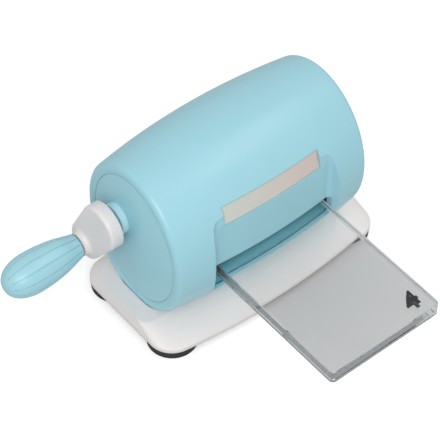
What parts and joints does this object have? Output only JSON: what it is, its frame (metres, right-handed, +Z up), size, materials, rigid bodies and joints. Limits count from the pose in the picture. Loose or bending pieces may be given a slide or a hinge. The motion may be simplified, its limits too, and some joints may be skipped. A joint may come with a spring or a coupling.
{
  "type": "die cutting and embossing machine",
  "caption": "Small hand cranked die cutting and embossing machine: a barrel housing on a base, a geared roller pair and clear cutting plates fed through the slot.",
  "frame": {"origin": "centre of the four feet's undersides, on the bench", "axes": "+X to the machine's right (the crank is on the left, at -X), -Y to the front, where the plates go in, +Z up"},
  "size_m": [0.2138, 0.1767, 0.1135],
  "materials": {
    "blue_plastic": "smooth satin moulding",
    "blue_grip": "smooth satin moulding with fine flutes",
    "white_plastic": "smooth satin moulding",
    "label_foil": "pearly foil",
    "clear_acrylic": "polished clear sheet",
    "foot_rubber": "matt",
    "bush_bronze": "sintered",
    "gear_steel": "machined, oiled",
    "plated_sheet": "zinc plated sheet",
    "bright_steel": "ground or plated"
  },
  "bodies": {
    "machine": {"barrel_shell": "blue_plastic", "left_end_rim": "blue_plastic", "right_end_rim": "blue_plastic", "left_end_cover": "blue_plastic", "right_end_cover": "blue_plastic", "label_strip": "label_foil", "front_feed_guide": "blue_plastic", "rear_feed_guide": "blue_plastic", "base_tray": "white_plastic", "chassis_plate": "plated_sheet", "crank_collar": "blue_plastic", "crank_bush": "bush_bronze", "side_frame_left": "plated_sheet", "side_frame_right": "plated_sheet", "tie_rod_top_front": "bright_steel", "tie_rod_top_rear": "bright_steel", "tie_rod_bottom": "bright_steel", "upper_bush_left": "bush_bronze", "upper_bush_right": "bush_bronze", "lower_bush_left": "bush_bronze", "lower_bush_right": "bush_bronze", "foot_front_left": "foot_rubber", "foot_front_right": "foot_rubber", "foot_rear_left": "foot_rubber", "foot_rear_right": "foot_rubber", "foot_screw_front_left": "bright_steel", "foot_screw_front_right": "bright_steel", "foot_screw_rear_left": "bright_steel", "foot_screw_rear_right": "bright_steel", "frame_screw_left_front": "bright_steel", "frame_screw_left_rear": "bright_steel", "frame_screw_right_front": "bright_steel", "frame_screw_right_rear": "bright_steel"},
    "crank": {"crank_shaft": "bright_steel", "crank_pinion": "gear_steel", "crank_arm": "white_plastic", "grip_pin": "bright_steel"},
    "hand_grip": {"grip": "blue_grip"},
    "upper_roller_set": {"upper_roller": "bright_steel", "upper_gear": "gear_steel", "upper_ring_left": "bright_steel", "upper_ring_right": "bright_steel"},
    "lower_roller_set": {"lower_roller": "bright_steel", "lower_gear": "gear_steel", "lower_ring_left": "bright_steel", "lower_ring_right": "bright_steel"},
    "plates": {"top_plate": "clear_acrylic", "lower_plate": "clear_acrylic"}
  },
  "joints": [
    {"name": "crank_spin", "type": "hinge", "parent": "machine", "child": "crank", "pos_m": [0, 0.01293, 0.0715], "axis": [1, 0, 0], "range_deg": [-1440, 270]},
    {"name": "grip_spin", "type": "hinge", "parent": "crank", "child": "hand_grip", "pos_m": [0, 0.02725, 0.04849], "axis": [1, 0, 0], "continuous": true},
    {"name": "upper_roller_spin", "type": "hinge", "parent": "machine", "child": "upper_roller_set", "pos_m": [0, -0.00565, 0.06195], "axis": [1, 0, 0], "range_deg": [-112.22, 596.36]},
    {"name": "lower_roller_spin", "type": "hinge", "parent": "machine", "child": "lower_roller_set", "pos_m": [0, -0.00565, 0.0324], "axis": [1, 0, 0], "range_deg": [-596.36, 112.22]},
    {"name": "plate_feed", "type": "slide", "parent": "machine", "child": "plates", "axis": [0, 1, 0], "range_m": [-0.0196, 0.1041]}
  ],
  "couplings": [
    {"joint": "upper_roller_spin", "follows": "crank_spin", "ratio": -0.41379},
    {"joint": "lower_roller_spin", "follows": "crank_spin", "ratio": 0.41379},
    {"joint": "plate_feed", "follows": "crank_spin", "m_per_rad": -0.0041379}
  ]
}
